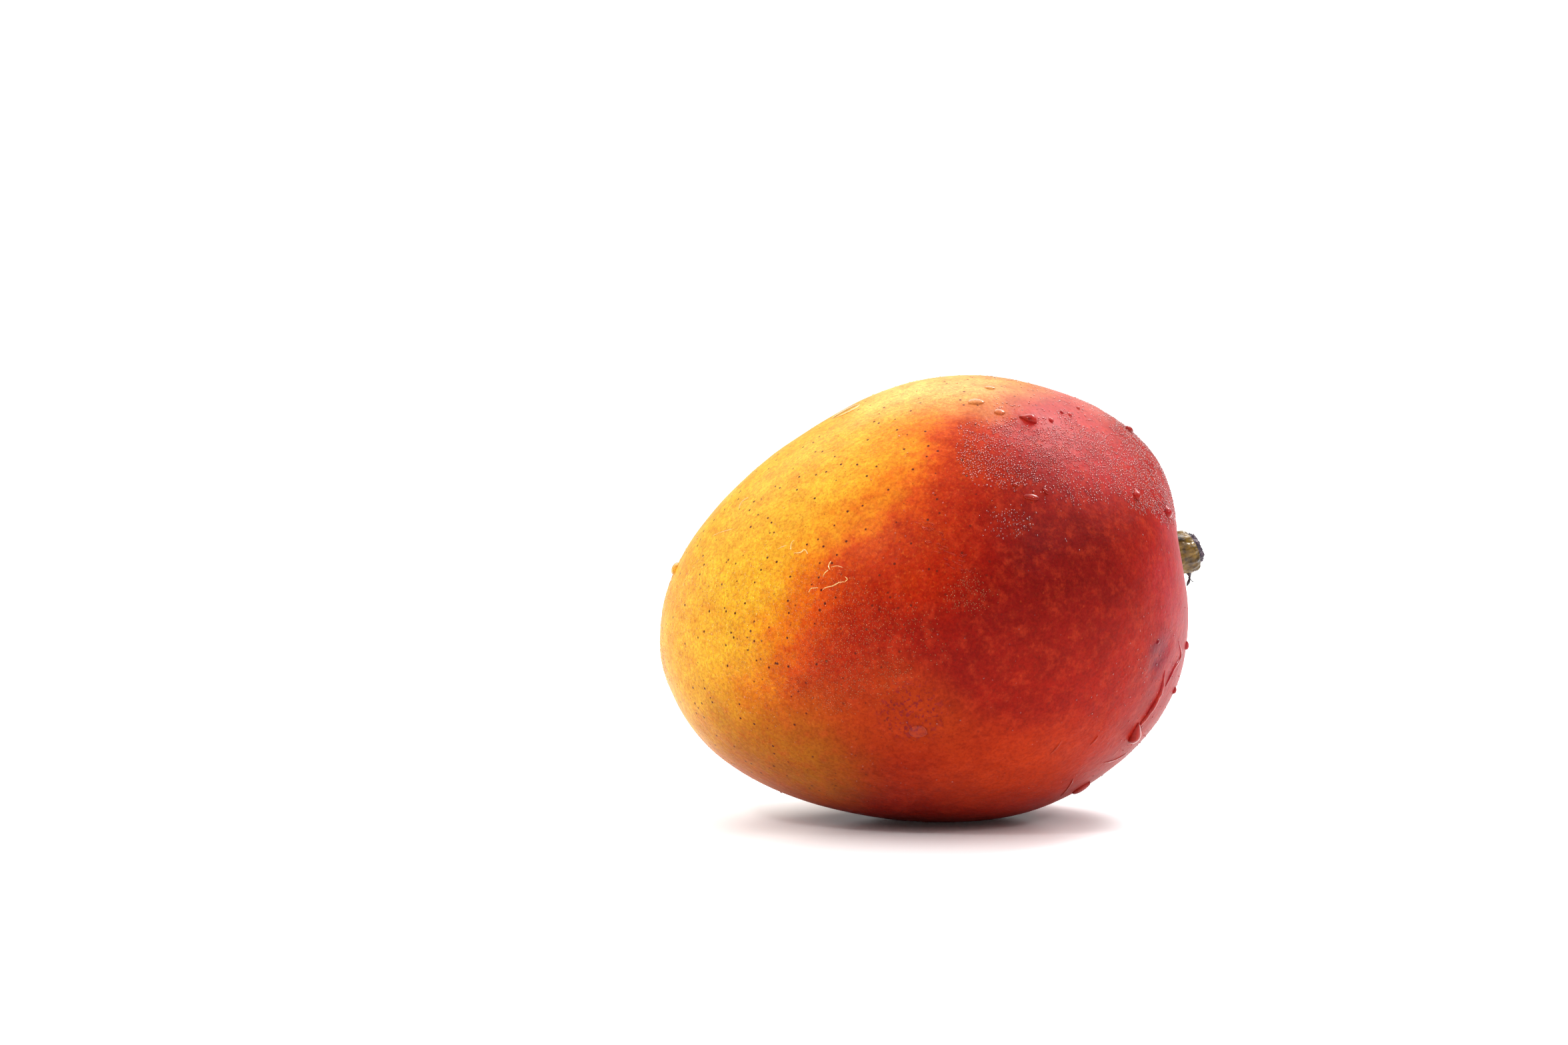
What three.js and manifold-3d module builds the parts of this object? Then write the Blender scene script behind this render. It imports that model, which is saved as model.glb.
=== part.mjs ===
// A ripe mango lying on one cheek, with the stub of its stalk and a withered bract that hangs from the stub.
// Millimetres, +Z up. +X runs from the tip to the stalk, and -Y faces the fruit's fuller back edge.
// The origin is on the surface that the fruit lies on, under the middle of the whole part's bounding box.
import * as THREE from "three";
import { mergeVertices } from "three/addons/utils/BufferGeometryUtils.js";
import Module from "manifold-3d";

// Driving sizes of the fruit.
const LENGTH = 108.4; // tip to stalk, before the shoulders swell
const WIDTH = 98; // back to belly
const THICKNESS = 90.6; // cheek to cheek
const TILT = 13.2; // degrees that the stalk end stands up as the fruit lies
const REST_DEPTH = 0.9; // how far the lower cheek is flattened where it lies
const SKIN_CELLS = 24; // mesh cells along each edge of the cube that is rounded into the fruit

// Driving sizes of the stalk's stub.
const STUB_LENGTH = 10.6; // from the skin to the top of the break
const STUB_RADIUS = 4.5; // at the thickest part of the barrel
const STUB_LEAN_UP = 1; // degrees off the fruit's own axis, towards the upper cheek
const STUB_LEAN_BELLY = 4; // degrees off the fruit's own axis, towards the belly
const STUB_SIDES = 48;
const GAP = 0.3; // room between pieces that touch on the real fruit

const radians = THREE.MathUtils.degToRad;

// Places on the fruit are given as on a globe, and its own frame has the stalk along +X, the belly along
// +Y and the upper cheek along +Z. Latitude is 90 at the stalk and -90 at the tip. Longitude is 0 along
// the back, 90 over the upper cheek, 180 along the belly and -90 under the lower cheek.
function direction(latitude, longitude) {
  const lat = radians(latitude);
  const lon = radians(longitude);
  return new THREE.Vector3(Math.sin(lat), -Math.cos(lat) * Math.cos(lon), Math.cos(lat) * Math.sin(lon));
}

// The plain egg: x runs from -1 at the tip to 1 at the stalk, where the egg is fuller. The core line bends
// towards the belly.
function eggPoint(d) {
  const widthShare = 1 + 0.13 * d.x - 0.04 * d.x ** 3;
  const thicknessShare = 1 + 0.21 * d.x + 0.02 * d.x ** 2 - 0.1 * d.x ** 3;
  const coreBend = 1.5 * d.x + 3.5 * d.x ** 2;
  return new THREE.Vector3(
    (d.x * LENGTH) / 2,
    (d.y * WIDTH * widthShare) / 2 + coreBend,
    (d.z * THICKNESS * thicknessShare) / 2,
  );
}

// A swelling of the skin, or a hollow where its height is below zero. It fades out at about its reach.
function swelling(latitude, longitude, reach, height) {
  return { centre: eggPoint(direction(latitude, longitude)), reach, height };
}

const STALK_PLACE = { latitude: 82.4, longitude: 211 };
const SWELLINGS = {
  upperShoulder: swelling(70, 85, 20, 5.5),
  lowerShoulder: swelling(60, -85, 20, 3.9),
  backShoulder: swelling(58, 0, 20, 2.4),
  saddleOverBackShoulder: swelling(76, 0, 9, -1),
  stalkBasin: swelling(STALK_PLACE.latitude, STALK_PLACE.longitude, 10, -2.6),
  bellyHollow: swelling(-52, 180, 15, -2.2),
  beak: swelling(-70, 176, 8, 1.8),
};

// The point of the skin in a direction from the middle.
function skinPoint(d) {
  const point = eggPoint(d);
  const outward = new THREE.Vector3(d.x / LENGTH, d.y / WIDTH, d.z / THICKNESS).normalize();
  let lift = 0;
  for (const { centre, reach, height } of Object.values(SWELLINGS)) {
    lift += height * Math.exp(-point.distanceToSquared(centre) / reach ** 2);
  }
  return point.addScaledVector(outward, lift);
}

// The turn from the fruit's own frame to the way it lies.
const lying = new THREE.Matrix4().makeRotationY(-radians(TILT));

// A geometry whose vertices are shared and then moved one by one.
function reshaped(geometry, move) {
  geometry.deleteAttribute("normal");
  geometry.deleteAttribute("uv");
  const shared = mergeVertices(geometry);
  const position = shared.getAttribute("position");
  const point = new THREE.Vector3();
  for (let i = 0; i < position.count; i++) {
    point.fromBufferAttribute(position, i);
    position.setXYZ(i, ...move(point).toArray());
  }
  shared.computeVertexNormals();
  return shared;
}

// The fruit is a cube rounded to a ball and then to the skin, so its cells are even and none runs to a
// pole. The lower cheek is flattened a little where it lies.
function fruitGeometry() {
  const evened = (share) => Math.tan((share * Math.PI) / 4);
  const cube = new THREE.BoxGeometry(2, 2, 2, SKIN_CELLS, SKIN_CELLS, SKIN_CELLS);
  const fruit = reshaped(cube, (p) => {
    const d = new THREE.Vector3(evened(p.x), evened(p.y), evened(p.z)).normalize();
    return skinPoint(d).applyMatrix4(lying);
  });
  const position = fruit.getAttribute("position");
  const restHeight = new THREE.Box3().setFromBufferAttribute(position).min.z + REST_DEPTH;
  for (let i = 0; i < position.count; i++) {
    position.setZ(i, Math.max(position.getZ(i), restHeight));
  }
  fruit.computeVertexNormals();
  return fruit;
}

// The stub's frame stands on the skin in the basin. Its Z runs out along the stub, its Y is the upper side
// and its X the belly side.
function stubFrame() {
  const { latitude, longitude } = STALK_PLACE;
  const foot = skinPoint(direction(latitude, longitude)).applyMatrix4(lying);
  const leanBelly = Math.tan(radians(STUB_LEAN_BELLY));
  const leanUp = Math.tan(radians(STUB_LEAN_UP));
  const along = new THREE.Vector3(1, leanBelly, leanUp).applyMatrix4(lying).normalize();
  const upper = new THREE.Vector3(0, 0, 1).addScaledVector(along, -along.z).normalize();
  const belly = new THREE.Vector3().crossVectors(upper, along);
  return new THREE.Matrix4().makeBasis(belly, upper, along).setPosition(foot);
}

const onStub = stubFrame();

// Half of the stub's outline, from under the skin over the flared foot, the waist and the barrel to the
// rim of the bark, and then over the crumbled wood. Radii are shares of the barrel's, heights of the length.
const STUB_OUTLINE = [
  [0, -0.14],
  [1.08, -0.14],
  [1.11, 0.03],
  [1.04, 0.09],
  [0.93, 0.14],
  [0.92, 0.2],
  [0.97, 0.3],
  [1, 0.42],
  [1, 0.54],
  [0.98, 0.65],
  [0.93, 0.74],
  [0.85, 0.8],
  [0.75, 0.82],
  [0.71, 0.87],
  [0.66, 0.93],
  [0.52, 0.98],
  [0.3, 1],
  [0, 0.97],
];
const BARK_RIDGES = 11;
const RIDGE_HEIGHT = 0.16;
const BARK_START = 1.6; // height where the ridges start, over the smooth foot
const BREAK_START = 0.81 * STUB_LENGTH; // height where the bark ends and the broken wood starts
const BREAK_LUMPS = 5;
const LUMP_HEIGHT = 0.4;
const BREAK_SLANT = 20; // degrees that the break faces up, off square
const SLANT_START = 3.5; // height where the stub starts to bend into that slant

// The stub is turned from its outline. The bark is then ridged lengthwise, the broken wood made lumpy, and
// the end slanted so that the upper side is the shorter.
function stubGeometry() {
  const outline = STUB_OUTLINE.map(([r, h]) => new THREE.Vector2(r * STUB_RADIUS, h * STUB_LENGTH));
  const turned = new THREE.LatheGeometry(outline, STUB_SIDES).rotateX(Math.PI / 2);
  const { smoothstep } = THREE.MathUtils;
  return reshaped(turned, (p) => {
    const radius = Math.hypot(p.x, p.y);
    const angle = Math.atan2(p.y, p.x);
    const onBreak = smoothstep(p.z, BREAK_START, BREAK_START + 0.4);
    const onBark = smoothstep(p.z, BARK_START, BARK_START + 1) - onBreak;
    const ridge = RIDGE_HEIGHT * Math.sin(BARK_RIDGES * angle + 1.5 * Math.sin(angle)) * onBark;
    const lump = LUMP_HEIGHT * Math.sin(BREAK_LUMPS * angle + 3 * Math.cos(angle)) * onBreak;
    const fade = Math.min(radius / (STUB_RADIUS / 2), 1);
    const share = radius > 0 ? 1 + ((ridge + lump) * fade) / radius : 1;
    const slant = p.y * Math.tan(radians(BREAK_SLANT)) * smoothstep(p.z, SLANT_START, STUB_LENGTH);
    const height = p.z - slant + 0.5 * lump * fade;
    return new THREE.Vector3(p.x * share, p.y * share, height).applyMatrix4(onStub);
  });
}

// The bract is a dried strip that hangs from the stub's underside and curls a little, with a thin prong
// that stands off it. Points are in the stub's frame, and widths are radii.
const BRACT_STRIP = {
  root: [-0.6, -4, 6.7],
  bend: [-0.7, -5.7, 7],
  end: [-0.6, -7.2, 5.9],
  wide: 0.55,
  narrow: 0.2,
};
const BRACT_PRONG = {
  root: [-0.7, -5.8, 6.5],
  bend: [-0.7, -6.1, 6.8],
  end: [-0.6, -6.8, 7.4],
  wide: 0.22,
  narrow: 0.14,
};

function bractGeometry({ root, bend, end, wide, narrow }) {
  const path = new THREE.QuadraticBezierCurve3(
    new THREE.Vector3(...root),
    new THREE.Vector3(...bend),
    new THREE.Vector3(...end),
  );
  return reshaped(new THREE.CylinderGeometry(narrow, wide, 1, 10, 8), (p) => {
    const share = p.y + 0.5;
    const tangent = path.getTangent(share);
    const outward = new THREE.Vector3().crossVectors(tangent, new THREE.Vector3(1, 0, 0)).normalize();
    const sideways = new THREE.Vector3().crossVectors(tangent, outward);
    const point = path.getPoint(share).addScaledVector(sideways, p.x).addScaledVector(outward, p.z);
    return point.applyMatrix4(onStub);
  });
}

const wasm = await Module();
wasm.setup();

function toSolid(geometry) {
  return new wasm.Manifold(new wasm.Mesh({
    numProp: 3,
    vertProperties: new Float32Array(geometry.getAttribute("position").array),
    triVerts: new Uint32Array(geometry.index.array),
  }));
}

function toGeometry(solid) {
  const { vertProperties, triVerts } = solid.getMesh();
  const geometry = new THREE.BufferGeometry();
  geometry.setAttribute("position", new THREE.BufferAttribute(vertProperties, 3));
  geometry.setIndex(new THREE.BufferAttribute(triVerts, 1));
  geometry.computeVertexNormals();
  return geometry;
}

function addPiece(group, name, geometry, color, roughness) {
  const piece = new THREE.Mesh(geometry, new THREE.MeshStandardMaterial({ color, roughness, metalness: 0 }));
  piece.name = name;
  group.add(piece);
}

// The stub is trimmed to the skin, and the bract to the stub, each by a copy of its neighbour that is moved
// towards it by the gap.
const fruit = fruitGeometry();
const stub = stubGeometry();
const out = new THREE.Vector3().setFromMatrixColumn(onStub, 2).multiplyScalar(GAP);
const under = new THREE.Vector3().setFromMatrixColumn(onStub, 1).multiplyScalar(-GAP);
const trimmedStub = toSolid(stub).subtract(toSolid(fruit).translate(out.toArray()));
const wholeBract = toSolid(bractGeometry(BRACT_STRIP)).add(toSolid(bractGeometry(BRACT_PRONG)));
const trimmedBract = wholeBract.subtract(toSolid(stub).translate(under.toArray()));

const mango = new THREE.Group();
addPiece(mango, "mango_fruit", fruit, 0xd8572a, 0.42);
addPiece(mango, "stalk_stub", toGeometry(trimmedStub), 0x7d6428, 0.7);
addPiece(mango, "dried_bract", toGeometry(trimmedBract), 0x2f1d1a, 0.85);

const box = new THREE.Box3().setFromObject(mango);
const middle = box.getCenter(new THREE.Vector3());
mango.position.set(-middle.x, -middle.y, -box.min.z);

export default mango;
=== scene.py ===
import math
import random
import bpy
from mathutils import Matrix, Vector, noise
from mathutils.bvhtree import BVHTree


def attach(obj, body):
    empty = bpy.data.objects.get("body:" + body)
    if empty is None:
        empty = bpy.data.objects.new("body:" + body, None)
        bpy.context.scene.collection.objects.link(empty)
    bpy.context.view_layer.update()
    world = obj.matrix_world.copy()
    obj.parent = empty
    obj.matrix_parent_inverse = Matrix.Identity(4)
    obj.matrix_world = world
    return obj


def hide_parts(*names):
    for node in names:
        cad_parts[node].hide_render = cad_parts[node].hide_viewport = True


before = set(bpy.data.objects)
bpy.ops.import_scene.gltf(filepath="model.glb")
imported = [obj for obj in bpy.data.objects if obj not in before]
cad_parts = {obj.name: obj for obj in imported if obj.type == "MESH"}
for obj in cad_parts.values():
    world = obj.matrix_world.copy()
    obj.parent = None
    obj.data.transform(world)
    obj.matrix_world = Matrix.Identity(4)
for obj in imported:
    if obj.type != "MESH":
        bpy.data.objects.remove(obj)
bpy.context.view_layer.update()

# The studio: a white room with a box of light overhead, a soft one behind the tip for the pale rim, and two
# small bright ones in front that put the points of light in the water. The camera stands low in front of
# the fruit's back edge, with a long lens, a little towards the tip's side.
CAMERA_PLACE = (-0.1895, -0.8825, 0.1213)
CAMERA_TURN = 10  # degrees to the right of straight ahead
CAMERA_DIP = 3.8  # degrees below level
LENS_MM = 100
SENSOR_MM = 36
PHOTO_SIZE = (2352, 1568)
# Each box of light: its name, its place and its size in metres, and its power in watts.
BOXES_OF_LIGHT = [
    ("overhead_box", (0.38, 0.24, 0.6), (0.24, 0.17), 3.8),
    ("left_box", (-0.5, -0.42, 0.6), (0.07, 0.07), 1.8),
    ("right_box", (0.46, -0.5, 0.5), (0.045, 0.045), 0.6),
    ("rim_box", (-0.68, 0.66, 0.24), (0.3, 0.3), 0.9),
]
LIT_MIDDLE = (0, 0, 0.05)  # where they all point

lens = bpy.data.cameras.new("studio_camera")
lens.lens = LENS_MM
lens.sensor_width = SENSOR_MM
lens.clip_end = 20
camera = bpy.data.objects.new("studio_camera", lens)
camera.location = CAMERA_PLACE
camera.rotation_euler = (math.radians(90 - CAMERA_DIP), 0, math.radians(-CAMERA_TURN))
bpy.context.scene.collection.objects.link(camera)
bpy.context.scene.camera = camera
bpy.context.scene.view_settings.view_transform = "Standard"
bpy.context.view_layer.update()

for name, place, size, watts in BOXES_OF_LIGHT:
    light = bpy.data.lights.new(name, "AREA")
    light.shape = "RECTANGLE"
    light.size, light.size_y = size
    light.energy = watts
    box = bpy.data.objects.new(name, light)
    box.location = place
    box.rotation_euler = (Vector(LIT_MIDDLE) - Vector(place)).to_track_quat("-Z", "Y").to_euler()
    bpy.context.scene.collection.objects.link(box)


def add_node(tree, kind, inputs=(), **settings):
    """Adds a node with its settings. Each input, by name or in order, is a value or another's socket."""
    made = tree.nodes.new(kind)
    for name, value in settings.items():
        setattr(made, name, value)
    for key, value in inputs.items() if isinstance(inputs, dict) else enumerate(inputs):
        if isinstance(value, bpy.types.NodeSocket):
            tree.links.new(value, made.inputs[key])
        else:
            made.inputs[key].default_value = value
    return made


def linear(hex_colour):
    """An sRGB colour such as d8410f as the linear colour that a node takes."""
    parts = [int(hex_colour[i : i + 2], 16) / 255 for i in (0, 2, 4)]
    return (*[p / 12.92 if p <= 0.04045 else ((p + 0.055) / 1.055) ** 2.4 for p in parts], 1)


def set_stops(ramp, stops):
    """Gives a colour ramp its stops, each a place from 0 to 1 and an sRGB colour."""
    while len(ramp.color_ramp.elements) < len(stops):
        ramp.color_ramp.elements.new(1)
    for element, (place, colour) in zip(ramp.color_ramp.elements, stops):
        element.position = place
        element.color = linear(colour)


# The room's light by its height in the sky, from straight down at 0 to straight up at 1: a white band all
# round the horizon, dark walls over it, and a ceiling of soft light that is brighter behind the fruit, so
# its shadow falls towards the camera.
BAND_STOPS = [(0.0, "f4f4f4"), (0.57, "f4f4f4"), (0.6, "000000")]
CEILING_STOPS = [(0.6, "101010"), (0.68, "202020"), (0.76, "ffffff")]
CEILING_STRENGTH = 1.75
BRIGHTER_BEHIND = 0.6
ROOM_STRENGTH = 1.38

room = bpy.data.worlds.new("white_room")
room.use_nodes = True
sky = room.node_tree
way = add_node(sky, "ShaderNodeTexCoord").outputs["Generated"]
way = add_node(sky, "ShaderNodeSeparateXYZ", (way,))
height = (way.outputs["Z"], 0.5, 0.5)
height = add_node(sky, "ShaderNodeMath", height, operation="MULTIPLY_ADD").outputs[0]
band = add_node(sky, "ShaderNodeValToRGB", (height,))
set_stops(band, BAND_STOPS)
ceiling = add_node(sky, "ShaderNodeValToRGB", (height,))
set_stops(ceiling, CEILING_STOPS)
behind = (way.outputs["Y"], BRIGHTER_BEHIND * CEILING_STRENGTH, CEILING_STRENGTH)
behind = add_node(sky, "ShaderNodeMath", behind, operation="MULTIPLY_ADD").outputs[0]
glow = (ceiling.outputs["Color"], behind, band.outputs["Color"])
glow = add_node(sky, "ShaderNodeVectorMath", glow, operation="MULTIPLY_ADD").outputs[0]
sky.links.new(glow, sky.nodes["Background"].inputs["Color"])
sky.nodes["Background"].inputs["Strength"].default_value = ROOM_STRENGTH
bpy.context.scene.world = room


def new_material(name):
    made = bpy.data.materials.new(name)
    made.use_nodes = True
    return made, made.node_tree, made.node_tree.nodes["Principled BSDF"]


# The floor: a wide sheet of white acrylic that runs on into the white room with no seam. It is cast and a
# little glossy, so the fruit shows faintly in it where it lies.
SWEEP_METRES = 12
SWEEP_PLACE = (0, 2, -0.0002)  # a hair under the fruit, so that the two don't flicker

bpy.ops.object.select_all(action="DESELECT")
bpy.ops.mesh.primitive_plane_add(size=SWEEP_METRES, location=SWEEP_PLACE)
sweep = bpy.context.object
sweep.name = "white_sweep"
acrylic, _, shader = new_material("white_acrylic_sheet")
shader.inputs["Base Color"].default_value = linear("fdfdfd")
shader.inputs["Roughness"].default_value = 0.35
sweep.data.materials.append(acrylic)

# The fruit's skin: the whole fruit outside in one piece, a thin waxy rind grown smooth and a little
# uneven. It is taken over the fruit's solid, rounded finer, and given the low swells, the dents and the
# sunken bruise by the stalk end.
SWELL_MM = 0.22  # height of the low swells
SWELL_PITCH_MM = 17
FLAT_BELOW = 0.006  # metres over the floor under which the swells fade out, so it lies as the solid does
FRUIT_MIDDLE = (1390, 900)  # the fruit's middle in the photograph's pixels
INWARD_STEP = 0.005  # the share of the way to that middle that a pixel outside the outline is moved
# Each dent's pixel in the photograph, how far it reaches and how deep it is, in mm.
DENTS = [
    (1528, 640, 4.0, 0.3),
    (1498, 628, 3.0, 0.2),
    (1740, 985, 3.0, 0.35),
    (1728, 1006, 2.2, 0.25),
    (1751, 972, 2.0, 0.25),
    (1395, 795, 1.8, 0.12),
    (1415, 815, 1.8, 0.12),
    (1437, 836, 1.8, 0.1),
    (1405, 708, 1.1, 0.2),
]


def on_photo(u, v):
    """The direction from the camera through a pixel of the photograph."""
    focal = LENS_MM / SENSOR_MM * PHOTO_SIZE[0]
    ray = Vector(((u - PHOTO_SIZE[0] / 2) / focal, (PHOTO_SIZE[1] / 2 - v) / focal, -1))
    return (camera.matrix_world.to_3x3() @ ray).normalized()


def select_only(piece):
    bpy.ops.object.select_all(action="DESELECT")
    piece.select_set(True)
    bpy.context.view_layer.objects.active = piece


def apply_modifier(piece, kind, **settings):
    select_only(piece)
    made = piece.modifiers.new(kind.lower(), kind)
    for name, value in settings.items():
        setattr(made, name, value)
    bpy.ops.object.modifier_apply(modifier=made.name)


def surface_of(piece):
    faces = [face.vertices for face in piece.data.polygons]
    return BVHTree.FromPolygons([corner.co for corner in piece.data.vertices], faces)


bpy.ops.object.select_all(action="DESELECT")
skin = bpy.data.objects.new("mango_skin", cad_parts["mango_fruit"].data.copy())
skin.data.materials.clear()
bpy.context.scene.collection.objects.link(skin)
select_only(skin)
bpy.ops.object.mode_set(mode="EDIT")
bpy.ops.mesh.select_all(action="SELECT")
bpy.ops.mesh.remove_doubles(threshold=1e-6)
bpy.ops.mesh.tris_convert_to_quads(face_threshold=math.radians(60), shape_threshold=math.radians(60))
bpy.ops.object.mode_set(mode="OBJECT")
apply_modifier(skin, "SUBSURF", levels=2, render_levels=2)

smooth_surface = surface_of(skin)
dent_places = [smooth_surface.ray_cast(camera.location, on_photo(u, v))[0] for u, v, _, _ in DENTS]
outward = [corner.normal.copy() for corner in skin.data.vertices]
for corner, normal in zip(skin.data.vertices, outward):
    place = corner.co * (1000 / SWELL_PITCH_MM)
    swell = noise.noise(place) + 0.4 * noise.noise(place * 2.6) + 0.12 * noise.noise(place * 7)
    lift = swell * SWELL_MM
    for centre, (_, _, reach, depth) in zip(dent_places, DENTS):
        lift -= depth * math.exp(-(((corner.co - centre).length * 1000 / reach) ** 2))
    fade_at_floor = min(1, max(0, corner.co.z / FLAT_BELOW))
    corner.co += normal * (lift * fade_at_floor / 1000)
select_only(skin)
bpy.ops.object.shade_smooth()
skin_surface = surface_of(skin)


def skin_at(u, v):
    """Where a photograph's pixel, or the next one inside the outline, meets the skin, and the normal."""
    place = None
    while place is None:
        place, normal, _, _ = skin_surface.ray_cast(camera.location, on_photo(u, v))
        u += (FRUIT_MIDDLE[0] - u) * INWARD_STEP
        v += (FRUIT_MIDDLE[1] - v) * INWARD_STEP
    return place, normal


# Waxy fruit skin: a thin dull wax over the colour, so the lights show in it soft, faint and spread, and
# the colour stays deep. Its patterns are laid out in the fruit's own millimetres.
skin_material, tree, shader = new_material("waxy_mango_skin")
coordinates = add_node(tree, "ShaderNodeTexCoord").outputs["Object"]
mm = add_node(tree, "ShaderNodeVectorMath", {0: coordinates, "Scale": 1000}, operation="SCALE").outputs[0]

# The blush runs from the yellow tip to the crimson shoulder, along a line that leans down and back. Its
# edge is ragged: bent by large clouds, then broken up by small ones and by a fine grain.
BLUSH_ACROSS = 0.77  # how fast it rises towards the stalk, for each mm
BLUSH_UP_HIGH = -0.58  # upwards, over the fruit's middle
BLUSH_UP_LOW = -0.22  # upwards, under the fruit's middle
BLUSH_BACK = -0.12  # towards the belly
BLUSH_SHIFT_MM = 3.4
MIDDLE_MM = 44
CLOUD_MM = 24  # the large clouds that bend it
BEND_MM = 18  # how far they bend it from one side to the other
RAGGED_MM = 9  # how far the small clouds and the grain shift the edge
RAGGED_EDGE = [(7, 0.5), (1.6, 0.7)]  # their patches' size in mm and their roughness
BLUSH_STOPS = [
    (-45, "e8ba34"),
    (-31, "e8b028"),
    (-27, "e69c1c"),
    (-23, "de7a10"),
    (-19, "cb4c0a"),
    (-15, "b02f05"),
    (-10, "9f1d04"),
    (-3, "8c1103"),
    (6, "830e04"),
    (16, "921606"),
    (34, "a21a0e"),
    (60, "901218"),
]
shifted = add_node(tree, "ShaderNodeVectorMath", (mm, [BEND_MM / 2] * 3), operation="SUBTRACT").outputs[0]
clouds = {"Vector": mm, "Scale": 1 / CLOUD_MM, "Detail": 3}
clouds = add_node(tree, "ShaderNodeTexNoise", clouds).outputs["Color"]
bent = (clouds, [BEND_MM] * 3, shifted)
bent = add_node(tree, "ShaderNodeVectorMath", bent, operation="MULTIPLY_ADD").outputs[0]
parts = add_node(tree, "ShaderNodeSeparateXYZ", (bent,))
high = add_node(tree, "ShaderNodeMath", (parts.outputs["Z"], MIDDLE_MM), operation="SUBTRACT").outputs[0]
upper = add_node(tree, "ShaderNodeMath", (high, 0), operation="MAXIMUM").outputs[0]
lower = add_node(tree, "ShaderNodeMath", (high, 0), operation="MINIMUM").outputs[0]
blush = (parts.outputs["X"], BLUSH_ACROSS, BLUSH_SHIFT_MM)
blush = add_node(tree, "ShaderNodeMath", blush, operation="MULTIPLY_ADD").outputs[0]
for amount, part in ((BLUSH_UP_HIGH, upper), (BLUSH_UP_LOW, lower), (BLUSH_BACK, parts.outputs["Y"])):
    blush = add_node(tree, "ShaderNodeMath", (part, amount, blush), operation="MULTIPLY_ADD").outputs[0]
for size, roughness in RAGGED_EDGE:
    ragged = {"Vector": mm, "Scale": 1 / size, "Detail": 3, "Roughness": roughness}
    ragged = add_node(tree, "ShaderNodeTexNoise", ragged).outputs["Fac"]
    ragged = add_node(tree, "ShaderNodeMath", (ragged, 0.5), operation="SUBTRACT").outputs[0]
    blush = (ragged, RAGGED_MM, blush)
    blush = add_node(tree, "ShaderNodeMath", blush, operation="MULTIPLY_ADD").outputs[0]
first, last = BLUSH_STOPS[0][0], BLUSH_STOPS[-1][0]
share = add_node(tree, "ShaderNodeMapRange", (blush, first, last)).outputs[0]
ramp = add_node(tree, "ShaderNodeValToRGB", (share,))
set_stops(ramp, [((place - first) / (last - first), colour) for place, colour in BLUSH_STOPS])
colour = ramp.outputs["Color"]

# Patches that stray from the blush: each has its middle, its reach each way in mm, its colour and how
# strongly it shows. It fades between these shares of its reach.
PATCH_FADE = (0.25, 1.15)
PATCHES = [
    ("crimson middle of the stalk end", (16, -46, 56), (27, 40, 21), "640a0d", 0.62),
    ("olive under the tip", (-42, -26, 14), (24, 34, 22), "a8690f", 0.85),
    ("olive under the belly side's tip", (-30, 24, 10), (30, 30, 18), "9a7a1a", 0.8),
    ("deep orange low on the back", (-20, -44, 26), (22, 30, 12), "b8430c", 0.5),
    ("yellow tip", (-58, 0, 46), (12, 30, 24), "efb038", 0.6),
    # The pale crest is partly the skin's waxy bloom and partly a painted highlight where the overhead light
    # falls on the top.
    ("pale crest bloom with painted highlight", (-8, -4, 93), (34, 44, 13), "f8cf74", 0.7),
    ("pink shoulder", (46, -18, 50), (13, 44, 34), "a82436", 0.6),
    # The pink crest is likewise partly bloom and partly a painted highlight from the overhead light.
    ("pink crest bloom with painted highlight", (32, -4, 88), (18, 30, 10), "ee9a8c", 0.55),
    ("orange low on the back", (4, -32, 15), (30, 34, 15), "c03a0d", 0.7),
    ("rosy upper shoulder", (24, -24, 78), (26, 26, 13), "c22e30", 0.65),
    ("bruise", (39, -29, 36), (6, 8, 6.5), "5c1030", 0.55),
    ("green shade on the belly", (-20, 50, 44), (34, 16, 26), "c9a02a", 0.45),
]
for _, middle, reach, tint, strength in PATCHES:
    away = add_node(tree, "ShaderNodeVectorMath", (bent, middle), operation="SUBTRACT").outputs[0]
    away = add_node(tree, "ShaderNodeVectorMath", (away, reach), operation="DIVIDE").outputs[0]
    away = add_node(tree, "ShaderNodeVectorMath", (away,), operation="LENGTH").outputs["Value"]
    near = (away, *PATCH_FADE, strength, 0)
    near = add_node(tree, "ShaderNodeMapRange", near, interpolation_type="SMOOTHSTEP").outputs[0]
    colour = {0: near, 6: colour, 7: linear(tint)}
    colour = add_node(tree, "ShaderNodeMix", colour, data_type="RGBA").outputs[2]

# How strongly the fine markings show at each place of the blush, or about one spot on the back edge: where
# each begins and ends, and its strength at both.
FLECKS_AT = (-16, -43, 27)
off_flecks = add_node(tree, "ShaderNodeVectorMath", (mm, FLECKS_AT), operation="DISTANCE").outputs["Value"]
fades = {}
for name, place, begins, ends, strength, last_strength in (
    ("everywhere", blush, -100, 100, 1, 1),
    ("less in red", blush, -22, 0, 0.28, 0.03),
    ("about the flecks", off_flecks, 4, 9, 0.6, 0),
    ("plain on yellow", blush, -20, 8, 0.95, 0.25),
    ("in red alone", blush, -10, 10, 0, 0.12),
):
    fade = (place, begins, ends, strength, last_strength)
    fades[name] = add_node(tree, "ShaderNodeMapRange", fade, interpolation_type="SMOOTHSTEP").outputs[0]

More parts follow.
